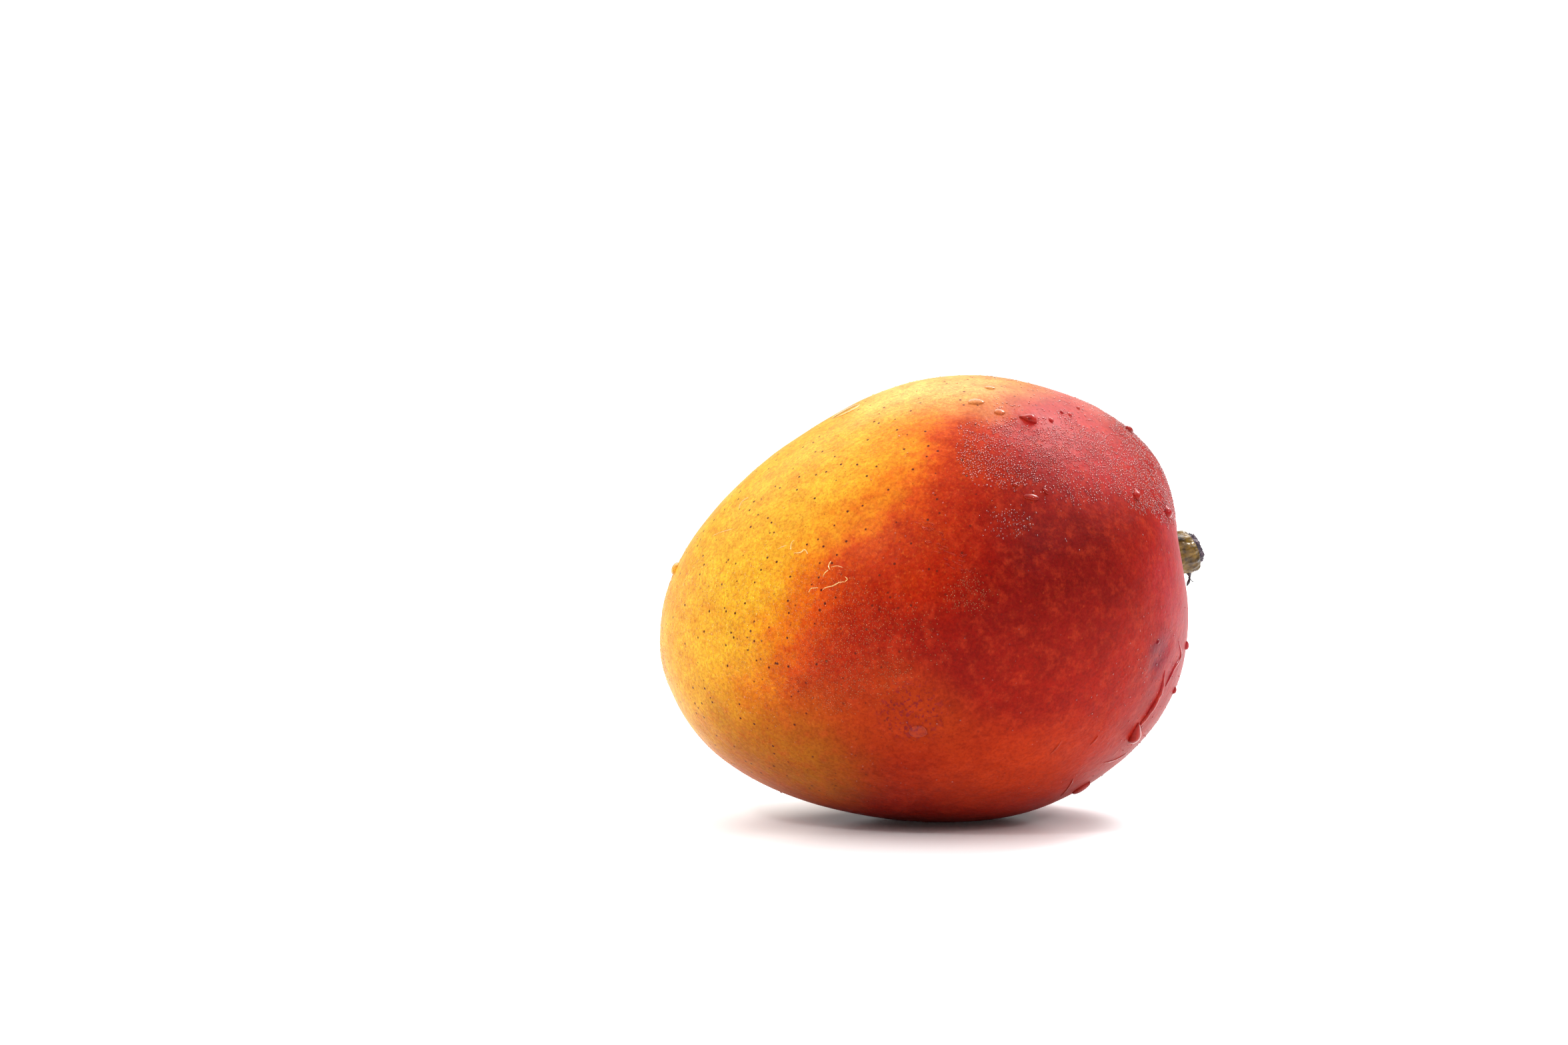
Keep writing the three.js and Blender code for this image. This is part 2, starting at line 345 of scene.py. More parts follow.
# The markings, each laid over the last: clouds first, which are the mottling in patches of a few mm and of
# less than one, orange grains and a cluster of purple flecks. Each has its patches' size in mm, the noise's
# detail and roughness, the values between which it takes hold, how much of it shows at both, where it
# shows, its colour and how that is mixed in.
CLOUDS = [
    (5, 4, 0.6, (0.35, 0.65), (0, 0.25), "everywhere", "b04a20", "MULTIPLY"),
    (2.6, 4, 0.65, (0.44, 0.74), (0, 0.3), "everywhere", "c8401e", "MIX"),
    (0.5, 2, 0.6, (0.45, 0.65), (0, 1), "less in red", "b04406", "MIX"),
    (0.6, 2, 0.6, (0.55, 0.75), (0, 1), "less in red", "f0803a", "MIX"),
    (0.9, 2, 0.6, (0.54, 0.62), (0, 1), "about the flecks", "701428", "MIX"),
    (0.7, 3, 0.7, (0.42, 0.62), (0, 0.28), "everywhere", "903020", "MULTIPLY"),
]
# Then the lenticels, the skin's pores: dark purple-brown dots up to 0.6 mm wide and 2 to 3 mm apart, plain
# on the yellow and lost in the red, with paler ones there. Each kind has its spacing in mm first.
LENTICELS = [
    (2.3, mm, (0.09, 0.145), (1, 0), "plain on yellow", "4a1810", "MIX"),
    (1.6, shifted, (0.05, 0.1), (0.7, 0), "plain on yellow", "7a2a14", "MIX"),
    (3.2, shifted, (0.03, 0.1), (1, 0), "in red alone", "e0662a", "MIX"),
]
markings = []
for size, detail, roughness, *look in CLOUDS:
    cloud = {"Vector": mm, "Scale": 1 / size, "Detail": detail, "Roughness": roughness}
    markings.append((add_node(tree, "ShaderNodeTexNoise", cloud).outputs["Fac"], *look))
for size, place, *look in LENTICELS:
    pores = {"Vector": place, "Scale": 1 / size}
    markings.append((add_node(tree, "ShaderNodeTexVoronoi", pores).outputs["Distance"], *look))
for pattern, limits, shown, where, tint, blend in markings:
    shown = (pattern, *limits, *shown)
    shown = add_node(tree, "ShaderNodeMapRange", shown, interpolation_type="SMOOTHSTEP").outputs[0]
    shown = add_node(tree, "ShaderNodeMath", (shown, fades[where]), operation="MULTIPLY").outputs[0]
    colour = {0: shown, 6: colour, 7: linear(tint)}
    colour = add_node(tree, "ShaderNodeMix", colour, data_type="RGBA", blend_type=blend).outputs[2]

# The wax over the rind takes a little of the light that its colour would give back.
UNDER_WAX = "e9e9e9"
colour = {0: 1, 6: colour, 7: linear(UNDER_WAX)}
colour = add_node(tree, "ShaderNodeMix", colour, data_type="RGBA", blend_type="MULTIPLY").outputs[2]
tree.links.new(colour, shader.inputs["Base Color"])

# Its low relief: soft ripples 2 mm wide, and a grain of half a millimetre.
waves = {"Vector": mm, "Scale": 1 / 2.2, "Detail": 3, "Roughness": 0.6}
waves = add_node(tree, "ShaderNodeTexNoise", waves).outputs["Fac"]
relief = {"Strength": 0.5, "Distance": 0.0003, "Height": waves}
relief = add_node(tree, "ShaderNodeBump", relief).outputs["Normal"]
grain = {"Vector": mm, "Scale": 1 / 0.6, "Detail": 3, "Roughness": 0.6}
grain = add_node(tree, "ShaderNodeTexNoise", grain).outputs["Fac"]
relief = {"Strength": 0.4, "Distance": 0.0001, "Height": grain, "Normal": relief}
relief = add_node(tree, "ShaderNodeBump", relief).outputs["Normal"]
tree.links.new(relief, shader.inputs["Normal"])
shader.inputs["Roughness"].default_value = 0.4
shader.inputs["IOR"].default_value = 1.45
shader.inputs["Specular IOR Level"].default_value = 0.06
skin.data.materials.append(skin_material)
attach(skin, "root")
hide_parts("mango_fruit")

# The stub of the stalk: green wood with a thin wrinkled bark, grown out of the fruit's shallow basin and
# snapped off a centimetre out, so its end is dark, crumbled fibre. It stands a little up.
STUB_FOOT_MM = (47.4, 10.7, 52.2)
STUB_TURN = 4.1  # degrees from +X towards the belly
STUB_RISE = 14.2  # degrees over level
STUB_LENGTH_MM = 10.6
STUB_RADIUS_MM = 4.5
# Half of its outline from under the skin to the middle of the break: shares of the radius and the length.
STUB_OUTLINE = [
    (0, -0.14),
    (1.08, -0.14),
    (1.11, 0.03),
    (1.04, 0.09),
    (0.93, 0.14),
    (0.92, 0.2),
    (0.97, 0.3),
    (1, 0.42),
    (1, 0.54),
    (0.99, 0.68),
    (0.94, 0.78),
    (0.87, 0.84),
    (0.76, 0.865),
    (0.72, 0.9),
    (0.65, 0.95),
    (0.5, 0.985),
    (0.3, 1),
    (0, 0.97),
]
BARK_END_MM = 0.86 * STUB_LENGTH_MM
BREAK_SLANT = 8  # degrees that the break faces up
BARK_RIDGES = 11  # low ridges round the stub

rise, turn = math.radians(STUB_RISE), math.radians(STUB_TURN)
stub_way = Vector((math.cos(rise) * math.cos(turn), math.cos(rise) * math.sin(turn), math.sin(rise)))
stub_up = (Vector((0, 0, 1)) - stub_way * stub_way.z).normalized()
stub_side = stub_up.cross(stub_way)
on_stub = Matrix((stub_side, stub_up, stub_way)).transposed().to_4x4()
on_stub.translation = Vector(STUB_FOOT_MM) / 1000


def smooth_step(value, low, high):
    share = min(1, max(0, (value - low) / (high - low)))
    return share * share * (3 - 2 * share)


def stub_outline_at(share):
    """The outline's radius and height in mm, a share of the way along it."""
    place = share * (len(STUB_OUTLINE) - 1)
    step = min(int(place), len(STUB_OUTLINE) - 2)
    part = place - step
    (r0, h0), (r1, h1) = STUB_OUTLINE[step], STUB_OUTLINE[step + 1]
    return STUB_RADIUS_MM * (r0 + (r1 - r0) * part), STUB_LENGTH_MM * (h0 + (h1 - h0) * part)


bpy.ops.object.select_all(action="DESELECT")
bpy.ops.mesh.primitive_uv_sphere_add(segments=120, ring_count=86, radius=1)
stub = bpy.context.object
stub.name = "stalk_stub_bark"
for corner in stub.data.vertices:
    angle = math.atan2(corner.co.y, corner.co.x)
    radius, height = stub_outline_at(math.acos(max(-1, min(1, -corner.co.z))) / math.pi)
    round_place = Vector((math.cos(angle) * radius, math.sin(angle) * radius, height))
    on_break = smooth_step(height, BARK_END_MM, BARK_END_MM + 0.4)
    on_bark = smooth_step(height, 1.6, 2.6) - on_break
    ridge = 0.1 * math.sin(BARK_RIDGES * angle + 1.5 * math.sin(angle))
    streaks = Vector((round_place.x * 1.1, round_place.y * 1.1, round_place.z * 0.28))
    ridge += 0.34 * noise.noise(streaks) + 0.2 * noise.noise(streaks * 2.3)
    ridge -= 0.3 * max(0, 0.25 - abs(noise.noise(streaks * 1.4)))
    crumbs = 0.45 * noise.noise(round_place * 1.1) + 0.3 * noise.noise(round_place * 2.4)
    crumbs += 0.16 * noise.noise(round_place * 5)
    fade = min(radius / (STUB_RADIUS_MM / 2), 1)
    share = 1 + (ridge * on_bark + crumbs * on_break) * fade / max(radius, 0.01)
    slant = round_place.y * math.tan(math.radians(BREAK_SLANT)) * smooth_step(height, 3.5, STUB_LENGTH_MM)
    knob = 0.5 * smooth_step(-round_place.y, 2, 4) * smooth_step(height, 5, 7) * (1 - on_break)
    far_along = height - slant + crumbs * on_break * 0.8
    place = Vector((round_place.x * share, round_place.y * share - knob, far_along))
    corner.co = on_stub @ (place / 1000)
select_only(stub)
bpy.ops.object.shade_smooth()
bpy.ops.object.mode_set(mode="EDIT")
bpy.ops.mesh.select_all(action="SELECT")
bpy.ops.mesh.normals_make_consistent(inside=False)
bpy.ops.object.mode_set(mode="OBJECT")

# Green stalk bark, wet: olive-brown, streaked near-black by a noise as painted shade for its grooves, and
# shiny where the water has run off it.
bark, tree, shader = new_material("wet_stalk_bark")
coordinates = add_node(tree, "ShaderNodeTexCoord").outputs["Object"]
mm = add_node(tree, "ShaderNodeVectorMath", {0: coordinates, "Scale": 1000}, operation="SCALE").outputs[0]
along_stub = add_node(tree, "ShaderNodeVectorMath", (mm, STUB_FOOT_MM), operation="SUBTRACT").outputs[0]
along_stub = add_node(tree, "ShaderNodeVectorMath", (along_stub, stub_way), operation="DOT_PRODUCT")
streaks = {"Vector": mm, "Scale": 1 / 2.2, "Detail": 4, "Roughness": 0.6}
streaks = add_node(tree, "ShaderNodeTexNoise", streaks).outputs["Fac"]
colour = add_node(tree, "ShaderNodeValToRGB", (streaks,))
# The near-black first stop is painted groove shade.
set_stops(colour, [(0.3, "1e1203"), (0.43, "4a3405"), (0.56, "6a4f07"), (0.75, "85640c")])
spots = {"Vector": mm, "Scale": 1 / 0.5, "Detail": 3, "Roughness": 0.5}
spots = add_node(tree, "ShaderNodeTexNoise", spots).outputs["Fac"]
colour = colour.outputs["Color"]
# An orange foot where it grows out of the skin, and dark spots all over.
for place, begins, ends, strength, last_strength, tint in (
    (along_stub.outputs["Value"], 0.5, 3.2, 0.8, 0, "a0500f"),
    (spots, 0.55, 0.7, 0, 0.6, "2e1d08"),
):
    shown = (place, begins, ends, strength, last_strength)
    shown = add_node(tree, "ShaderNodeMapRange", shown, interpolation_type="SMOOTHSTEP").outputs[0]
    colour = {0: shown, 6: colour, 7: linear(tint)}
    colour = add_node(tree, "ShaderNodeMix", colour, data_type="RGBA").outputs[2]
tree.links.new(colour, shader.inputs["Base Color"])
grain = {"Vector": mm, "Scale": 1 / 0.6, "Detail": 4}
grain = add_node(tree, "ShaderNodeTexNoise", grain).outputs["Fac"]
grain = {"Strength": 0.5, "Distance": 0.0002, "Height": grain}
tree.links.new(add_node(tree, "ShaderNodeBump", grain).outputs["Normal"], shader.inputs["Normal"])
shader.inputs["Roughness"].default_value = 0.45
shader.inputs["Specular IOR Level"].default_value = 0.15
shader.inputs["Coat Weight"].default_value = 0.35
shader.inputs["Coat Roughness"].default_value = 0.06
stub.data.materials.append(bark)

# Broken stalk wood: dark purple-brown where the sap has dried in it, with pale ends of torn fibre.
broken, tree, shader = new_material("crumbled_stalk_wood")
coordinates = add_node(tree, "ShaderNodeTexCoord").outputs["Object"]
mm = add_node(tree, "ShaderNodeVectorMath", {0: coordinates, "Scale": 1000}, operation="SCALE").outputs[0]
fibres = {"Vector": mm, "Scale": 1 / 0.55, "Detail": 3, "Roughness": 0.6}
fibres = add_node(tree, "ShaderNodeTexNoise", fibres).outputs["Fac"]
colour = add_node(tree, "ShaderNodeValToRGB", (fibres,))
set_stops(colour, [(0.35, "120a14"), (0.5, "2c1a2c"), (0.62, "4c3040"), (0.72, "a08890")])
tree.links.new(colour.outputs["Color"], shader.inputs["Base Color"])
shader.inputs["Roughness"].default_value = 0.5
stub.data.materials.append(broken)
to_stub = on_stub.inverted()
for face in stub.data.polygons:
    place = to_stub @ face.center * 1000
    slant = place.y * math.tan(math.radians(BREAK_SLANT))
    face.material_index = 1 if place.z + slant > BARK_END_MM + 0.05 else 0
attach(stub, "root")
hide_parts("stalk_stub")

# The withered bract: the small dry leaf that grew at the flower stalk, now a dark curled strip with a
# thin prong. It hangs from the stub's underside, where it grew.
BRACT_STEPS = 14
# Each path's places in mm from the stub's foot (to its side, up from its middle and along it) and radii.
BRACT_STRIP = [
    (-0.6, -3.9, 6.7, 0.6),
    (-0.7, -4.9, 6.9, 0.42),
    (-0.75, -5.7, 6.8, 0.28),
    (-0.7, -6.5, 6.4, 0.3),
    (-0.6, -7.3, 5.8, 0.08),
]
BRACT_PRONG = [
    (-0.7, -5.6, 6.6, 0.18),
    (-0.7, -6.1, 6.9, 0.12),
    (-0.65, -6.5, 7.1, 0.1),
    (-0.6, -6.9, 7.5, 0.06),
]


def tapered_rod(name, path, radii, sides):
    """A closed round rod along a path of places, with a radius at each, made a mesh."""
    bow = bpy.data.curves.new(name, "CURVE")
    bow.dimensions = "3D"
    bow.bevel_depth = 1
    bow.bevel_resolution = sides // 2 - 1
    bow.use_fill_caps = True
    line = bow.splines.new("POLY")
    line.points.add(len(path) - 1)
    for point, place, radius in zip(line.points, path, radii):
        point.co = (*place, 1)
        point.radius = radius
    rod = bpy.data.objects.new(name, bow)
    bpy.context.scene.collection.objects.link(rod)
    select_only(rod)
    bpy.ops.object.convert(target="MESH")
    rod = bpy.context.object
    bpy.ops.object.mode_set(mode="EDIT")
    bpy.ops.mesh.select_all(action="SELECT")
    bpy.ops.mesh.remove_doubles(threshold=1e-7)
    bpy.ops.mesh.normals_make_consistent(inside=False)
    bpy.ops.object.mode_set(mode="OBJECT")
    bpy.ops.object.shade_smooth()
    return rod


def between(values, share):
    """A value or place a share of the way along a list of them, on a smooth line through them all."""
    place = share * (len(values) - 1)
    step = min(int(place), len(values) - 2)
    t = place - step
    before, start = values[max(step - 1, 0)], values[step]
    end, after = values[step + 1], values[min(step + 2, len(values) - 1)]
    return (
        start
        + (end - before) * (0.5 * t)
        + (before - start * 2.5 + end * 2 - after * 0.5) * t**2
        + (start * 1.5 - end * 1.5 + after * 0.5 - before * 0.5) * t**3
    )


def joined(pieces, name):
    select_only(pieces[0])
    for piece in pieces:
        piece.select_set(True)
    bpy.ops.object.join()
    pieces[0].name = name
    return pieces[0]


bract_parts = []
for path in (BRACT_STRIP, BRACT_PRONG):
    steps = [i / BRACT_STEPS for i in range(BRACT_STEPS + 1)]
    places = [on_stub @ (between([Vector(point[:3]) for point in path], s) / 1000) for s in steps]
    curls = [1 + 0.25 * math.sin(9 * s) for s in steps]
    widths = [between([point[3] for point in path], s) / 1000 * curl for s, curl in zip(steps, curls)]
    bract_parts.append(tapered_rod("withered_bract", places, widths, 10))
bract = joined(bract_parts, "withered_bract")

# Dry leaf: nearly black, with a purple cast and a dull face.
dry_leaf, tree, shader = new_material("dry_bract_leaf")
coordinates = add_node(tree, "ShaderNodeTexCoord").outputs["Object"]
mm = add_node(tree, "ShaderNodeVectorMath", {0: coordinates, "Scale": 1000}, operation="SCALE").outputs[0]
wrinkles = {"Vector": mm, "Scale": 1 / 0.6, "Detail": 3}
wrinkles = add_node(tree, "ShaderNodeTexNoise", wrinkles).outputs["Fac"]
colour = add_node(tree, "ShaderNodeValToRGB", (wrinkles,))
set_stops(colour, [(0.4, "150c12"), (0.6, "38202c"), (0.7, "5a3c34")])
tree.links.new(colour.outputs["Color"], shader.inputs["Base Color"])
shader.inputs["Roughness"].default_value = 0.5
bract.data.materials.append(dry_leaf)
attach(bract, "root")
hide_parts("dried_bract")

# The water: the fruit was sprayed, and the wax on its skin holds the water in round drops. The larger
# ones sag into pears and leave a trail where they have run, and a drying film has raised, broken edges.
CUT_BELOW = -0.06  # where the ball that a drop is made from is cut, as a share of its radius
OFF_SKIN = 0.006  # metres over the skin from which each of a drop's corners is dropped on it
# Each drop's pixel in the photograph, its size across, along and off the skin in mm, how many degrees it
# leans and how much of it is drawn out to a tail.
DROPS = [
    (1542, 629, 2.4, 3.7, 1.3, 80, 0.6),
    (1464, 603, 3.4, 2.2, 0.45, 5, 0.1),
    (1499, 618, 2.4, 2.0, 0.45, 20, 0.2),
    (1485, 582, 2.2, 2.0, 0.4, 0, 0.1),
    (1576, 630, 1.0, 1.9, 0.5, 20, 0.4),
    (1592, 618, 0.8, 1.7, 0.45, 15, 0.4),
    (1604, 622, 0.8, 1.6, 0.45, 25, 0.4),
    (1617, 612, 0.9, 1.5, 0.45, 10, 0.4),
    (1568, 737, 0.9, 1.8, 0.5, 42, 0.3),
    (1547, 746, 3.6, 1.4, 0.45, 4, 0.2),
    (1523, 728, 1.3, 0.8, 0.4, -10, 0.2),
    (1692, 645, 2.4, 1.9, 0.9, 30, 0.2),
    (1704, 742, 2.0, 3.2, 1.1, 8, 0.6),
    (1750, 767, 2.6, 3.4, 1.2, 4, 0.6),
    (1702, 1099, 3.4, 5.6, 1.6, -24, 0.62),
    (1621, 1182, 5.0, 3.0, 0.8, 30, 0.3),
    (1377, 1097, 3.8, 3.0, 0.5, 0, 0.05),
    (1010, 852, 2.6, 4.6, 0.9, -16, 0.3),
    (1779, 968, 1.4, 2.4, 0.7, 0, 0.3),
    (1763, 1036, 1.4, 2.0, 0.6, -15, 0.3),
    (1737, 963, 1.2, 0.9, 0.35, 10, 0.1),
    (1270, 617, 6.8, 5.5, 0.3, -25, 0.15),
]


def water_drop(u, v, across, along, high, lean, tail):
    """A drop on the skin: half a ball drawn out to a pear, with its foot laid on the skin all round."""
    centre, normal = skin_at(u, v)
    sideways = camera.matrix_world.to_3x3() @ Vector((1, 0, 0))
    sideways = (sideways - normal * sideways.dot(normal)).normalized()
    upward = normal.cross(sideways)
    turn = math.radians(lean)
    bpy.ops.object.select_all(action="DESELECT")
    bpy.ops.mesh.primitive_uv_sphere_add(segments=36, ring_count=24, radius=1)
    drop = bpy.context.object
    bpy.ops.object.mode_set(mode="EDIT")
    bpy.ops.mesh.select_all(action="SELECT")
    bpy.ops.mesh.bisect(plane_co=(0, 0, CUT_BELOW), plane_no=(0, 0, 1), clear_inner=True, use_fill=True)
    bpy.ops.object.mode_set(mode="OBJECT")
    for corner in drop.data.vertices:
        x, y, z = corner.co
        narrow = 1 - tail * smooth_step(y, -0.5, 1)
        wobble = 1 + 0.12 * noise.noise(Vector((x * 1.2, y * 1.2, u)))
        right = x * narrow * wobble * across / 2000
        up = y * wobble * along / 2000
        right, up = Matrix.Rotation(turn, 2) @ Vector((right, up))
        start = centre + sideways * right + upward * up + normal * OFF_SKIN
        foot, slope, _, _ = skin_surface.ray_cast(start, -normal)
        if foot is None:
            foot, slope, _, _ = skin_surface.find_nearest(start)
        rounded = math.copysign(abs(z) ** 0.8, z)
        corner.co = foot + slope * (rounded * narrow * high / 1000)
    bpy.ops.object.shade_smooth()
    return drop


drops = [water_drop(*drop) for drop in DROPS]

# Each run or film edge: its path in the photograph's pixels, and its radius in mm at both ends.
RUNS = [
    ([(1747, 1006), (1741, 1036), (1726, 1064), (1708, 1090)], 0.35, 0.8),
    ([(1768, 962), (1771, 984), (1760, 1004), (1748, 1030)], 0.2, 0.4),
    ([(1574, 1133), (1583, 1124), (1592, 1112)], 0.16, 0.26),
    ([(1590, 1196), (1602, 1182), (1610, 1168)], 0.16, 0.26),
    ([(1635, 1118), (1641, 1112), (1647, 1104)], 0.16, 0.26),
    ([(1655, 1145), (1672, 1140), (1690, 1130)], 0.16, 0.22),
]
FILM_EDGES = [
    ([(1186, 826), (1187, 816), (1192, 810)], 0.12, 0.09),
    ([(1190, 830), (1201, 829), (1207, 825), (1212, 831)], 0.11, 0.17),
    ([(1166, 824), (1172, 821), (1180, 818)], 0.06, 0.09),
    ([(1245, 855), (1243, 849), (1247, 841)], 0.14, 0.11),
    ([(1234, 866), (1237, 860), (1243, 855)], 0.08, 0.12),
    ([(1246, 851), (1256, 849), (1265, 852)], 0.08, 0.05),
    ([(1213, 889), (1217, 883), (1227, 882)], 0.12, 0.08),
    ([(1233, 886), (1238, 882), (1249, 879), (1259, 874), (1267, 873)], 0.09, 0.11),
    ([(1267, 873), (1271, 869), (1267, 865)], 0.12, 0.10),
    ([(1108, 764), (1113, 753), (1123, 746)], 0.08, 0.14),
    ([(1068, 805), (1080, 799), (1102, 793)], 0.06, 0.10),
]
# The film over the middle of the back lies in a patch of short ripples, one below the other. Their first
# and last pixel, their count and their radius in mm at both ends.
RIPPLES_FROM = (1378, 782)
RIPPLES_TO = (1440, 848)
RIPPLE_COUNT = 34
RIPPLE_RADII = (0.1, 0.18)

ripples = []
chance = random.Random(5)
for step in range(RIPPLE_COUNT):
    u, v = Vector(RIPPLES_FROM).lerp(Vector(RIPPLES_TO), step / (RIPPLE_COUNT - 1))
    u += chance.uniform(-14, 14)
    v += chance.uniform(-12, 12)
    bow = chance.uniform(-3, 3)
    ripples.append(([(u, v), (u + 4, v + 3 + bow), (u + chance.uniform(6, 11), v + 3)], *RIPPLE_RADII))


def line_on_skin(path, first_radius, last_radius):
    """A thin raised line along a path of pixels, half sunk in the skin, with tapered ends."""
    count = 6 * len(path)
    steps = [i / count for i in range(count + 1)]
    pixels = [between([Vector(pixel) for pixel in path], s) for s in steps]
    places = [skin_at(*pixel)[0] for pixel in pixels]
    widths = []
    for s, place in zip(steps, places):
        swell = 1 + 0.35 * noise.noise(place * 900)
        taper = min(1, 0.25 + 3 * min(s, 1 - s))
        widths.append((first_radius + (last_radius - first_radius) * s) / 1000 * swell * taper)
    return tapered_rod("line_on_skin", places, widths, 8)


water_lines = [line_on_skin(*line) for line in RUNS + ripples]
edge_lines = [line_on_skin(*line) for line in FILM_EDGES]
water_drops = joined(drops + water_lines, "water_drops")
film_edges = joined(edge_lines, "film_edges")

# Water on the skin: clear and no more than a millimetre or so deep, so it has the colour of the skin that
# is under it, and what shows is its gloss, with hard bright points where the lights stand in it.
WATER_IOR = 1.19  # water has 1.33, which turns grey with the white room over the dark red


def water_over_skin(name, ior, roughness):
    made = skin_material.copy()
    made.name = name
    shader = made.node_tree.nodes["Principled BSDF"]
    made.node_tree.links.remove(shader.inputs["Normal"].links[0])
    shader.inputs["Roughness"].default_value = 0.3
    shader.inputs["Coat Weight"].default_value = 1
    shader.inputs["Coat IOR"].default_value = ior
    shader.inputs["Coat Roughness"].default_value = roughness
    return made


water = water_over_skin("clear_water_over_skin", WATER_IOR, 0.03)
water_drops.data.materials.clear()
water_drops.data.materials.append(water)
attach(water_drops, "root")

# The film's edges: what the water left as it dried, thin as a hair, waxy and half clear. Their pale gold
# colour is a painted highlight that stands in for the glints the lights put on them.
film_edge, _, shader = new_material("film_edge_painted_glint")
# Pale gold: painted glint colour, not the film's own.
shader.inputs["Base Color"].default_value = linear("ffc45c")
shader.inputs["Transmission Weight"].default_value = 0.5
shader.inputs["Roughness"].default_value = 0.15
shader.inputs["Coat Weight"].default_value = 1
shader.inputs["Coat IOR"].default_value = 1.6
film_edges.data.materials.clear()
film_edges.data.materials.append(film_edge)
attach(film_edges, "root")

# The dew: fine beads of the same spray that are too light to run. They stand close together on the wet
# shoulder, finer over the tip's half, and here and there on the rest. One bead is made and copied.
BEAD_HEIGHT = 0.62  # as a share of its radius
BEAD_CUT = -0.2  # where the ball that a bead is made from is cut, as a share of its radius
BEAD_IOR = 1.55  # over water's 1.33, because a bead half a millimetre wide is mostly thrown-back light
FINE_BEAD_IOR = 1.33
CLOSEST = 0.9  # how near two beads may come, as a share of their radii together
TRIES = 6  # places drawn for each bead, as some fall on another bead
BARE_BELOW = 0.02  # how thick the dew has to lie for a face to get any
ROUND_A_CELL = [(i, j, k) for i in (-1, 0, 1) for j in (-1, 0, 1) for k in (-1, 0, 1)]

bpy.ops.object.select_all(action="DESELECT")
bpy.ops.mesh.primitive_uv_sphere_add(segments=6, ring_count=4, radius=1)
bead = bpy.context.object
bpy.ops.object.mode_set(mode="EDIT")
bpy.ops.mesh.select_all(action="SELECT")
bpy.ops.mesh.bisect(plane_co=(0, 0, BEAD_CUT), plane_no=(0, 0, 1), clear_inner=True, use_fill=True)
bpy.ops.object.mode_set(mode="OBJECT")
bead_corners = [corner.co.copy() for corner in bead.data.vertices]
bead_faces = [list(face.vertices) for face in bead.data.polygons]
bpy.data.objects.remove(bead)

# Water in small beads: the skin's colour shows through, under a bright clear face.
bead_water = water_over_skin("water_in_small_beads", BEAD_IOR, 0.03)

# Water in the finest beads: too small to show a light of their own, so they shine in the skin's gold.
fine_water = water_over_skin("water_in_fine_beads", FINE_BEAD_IOR, 0.1)
shader = fine_water.node_tree.nodes["Principled BSDF"]
shader.inputs["Specular IOR Level"].default_value = 0.9
shader.inputs["Specular Tint"].default_value = linear("ffbe50")
shader.inputs["Roughness"].default_value = 0.15


def on_shoulder(place):
    """How thick the dew lies on the wet shoulder, from 0 to 1. It ends below in lobes."""
    x, y, z = place
    lobes = 4 * noise.noise(place / 6)
    edge = 71 - 0.3 * max(0, x - 18)
    thick = smooth_step(z + lobes, edge - 3, edge + 7) * smooth_step(x + lobes - 0.3 * (z - 72), -9, 4)
    crest = 82 - 0.5 * max(0, x - 22)
    thick *= 1 - 0.97 * smooth_step(z + 0.7 * lobes, crest, crest + 2.5) * smooth_step(42 - x, 0, 12)
    bare = smooth_step(noise.noise(place / 8 + Vector((3, 0, 0))), 0.12, 0.3)
    thick *= (1 - 0.8 * bare) * smooth_step(noise.noise(place / 1.7), -0.45, 0.1)
    second = math.hypot((x - 4) / 5, (z - 64.5) / 3.4) + 0.4 * noise.noise(place / 4)
    thick = max(thick, 0.16 * (1 - smooth_step(second, 0.3, 1.2)))
    far_side = smooth_step(noise.noise(place / 13 + Vector((0, 0, 7))), 0.05, 0.25)
    far_side *= smooth_step(z, 52, 62) * smooth_step(x, -20, 0)
    to_far_side = smooth_step(y, -6, 8)
    return thick * (1 - to_far_side) + far_side * to_far_side


def on_tip_half(place):
    """How thick the fine dew lies over the tip's half, towards the back edge."""
    x, y, z = place
    away = math.hypot((x + 38) / 24, (z - 41) / 16) + 0.4 * noise.noise(place / 7)
    second = math.hypot((x + 5) / 9, (z - 50) / 6) + 0.4 * noise.noise(place / 5)
    thick = max(1 - smooth_step(away, 0.4, 1.15), 0.7 - smooth_step(second, 0.3, 1))
    return thick * (1 - smooth_step(y, 5, 30))


def here_and_there(place):
    """Loose beads all over, more of them where the water ran down by the stalk end."""
    x, _, z = place
    cloud = smooth_step(noise.noise(place / 14 + Vector((0, 5, 0))), -0.1, 0.35)
    ran_down = 2.5 * (1 - smooth_step(math.hypot((x - 36) / 16, (z - 26) / 18), 0.4, 1.1))
    return (0.15 + cloud + ran_down) * smooth_step(z, 4, 12)


chance = random.Random(7)
skin_corners = [corner.co.copy() for corner in skin.data.vertices]


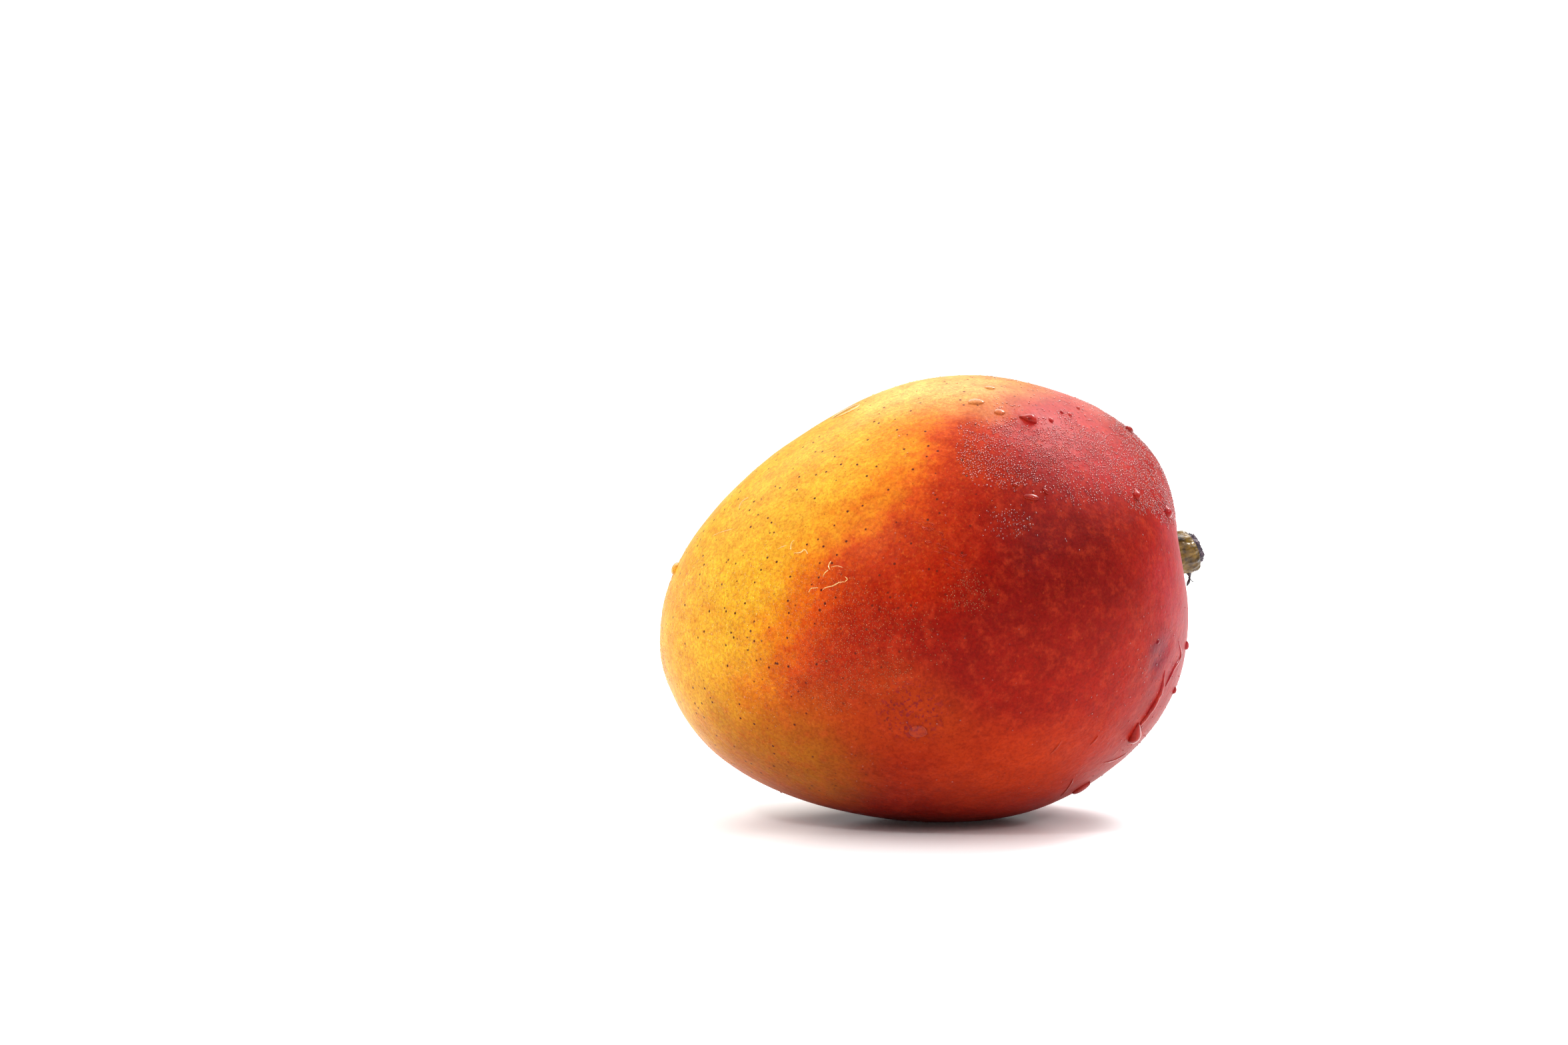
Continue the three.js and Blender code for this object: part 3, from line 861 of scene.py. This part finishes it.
def lay_dew(name, thickness, count, smallest, largest, material):
    """Lays this many beads on the skin, none over another, and closer together where the dew is thick."""
    faces = [face for face in skin.data.polygons if thickness(face.center * 1000) > BARE_BELOW]
    weights = [face.area * thickness(face.center * 1000) for face in faces]
    taken = {}
    places, polygons = [], []
    laid = 0
    for face in chance.choices(faces, weights, k=count * TRIES):
        if laid == count:
            break
        a, b, c, d = [skin_corners[i] for i in face.vertices]
        s, t = chance.random(), chance.random()
        place = a.lerp(b, s).lerp(d.lerp(c, s), t)
        radius = (smallest + (largest - smallest) * chance.random() ** 2) / 2000
        cell = [int(p // (largest / 1000)) for p in place]
        near = [taken.get((cell[0] + i, cell[1] + j, cell[2] + k), ()) for i, j, k in ROUND_A_CELL]
        laid_near = [bead for beads in near for bead in beads]
        if any((place - other).length < CLOSEST * (radius + size) for other, size in laid_near):
            continue
        taken.setdefault(tuple(cell), []).append((place, radius))
        spin = Matrix.Rotation(chance.uniform(0, math.tau), 3, "Z")
        stretch = Matrix.Diagonal((radius * chance.uniform(0.85, 1.2), radius, radius * BEAD_HEIGHT))
        pose = face.normal.to_track_quat("Z", "Y").to_matrix() @ spin @ stretch
        polygons += [[i + len(places) for i in side] for side in bead_faces]
        places += [place + pose @ corner for corner in bead_corners]
        laid += 1
    mesh = bpy.data.meshes.new(name)
    mesh.from_pydata(places, [], polygons)
    mesh.materials.append(material)
    dew = bpy.data.objects.new(name, mesh)
    bpy.context.scene.collection.objects.link(dew)
    select_only(dew)
    bpy.ops.object.shade_smooth()
    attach(dew, "root")


def on_back_shoulder(place):
    return on_shoulder(place) if place.y < 0 else 0


def on_far_shoulder(place):
    return on_shoulder(place) if place.y >= 0 else 0


lay_dew("dew_on_back_shoulder", on_back_shoulder, 4600, 0.28, 0.6, bead_water)
lay_dew("dew_on_far_shoulder", on_far_shoulder, 2600, 0.28, 0.6, bead_water)
lay_dew("dew_on_tip_half", on_tip_half, 5600, 0.2, 0.38, fine_water)
lay_dew("loose_dew", here_and_there, 1100, 0.2, 0.5, bead_water)
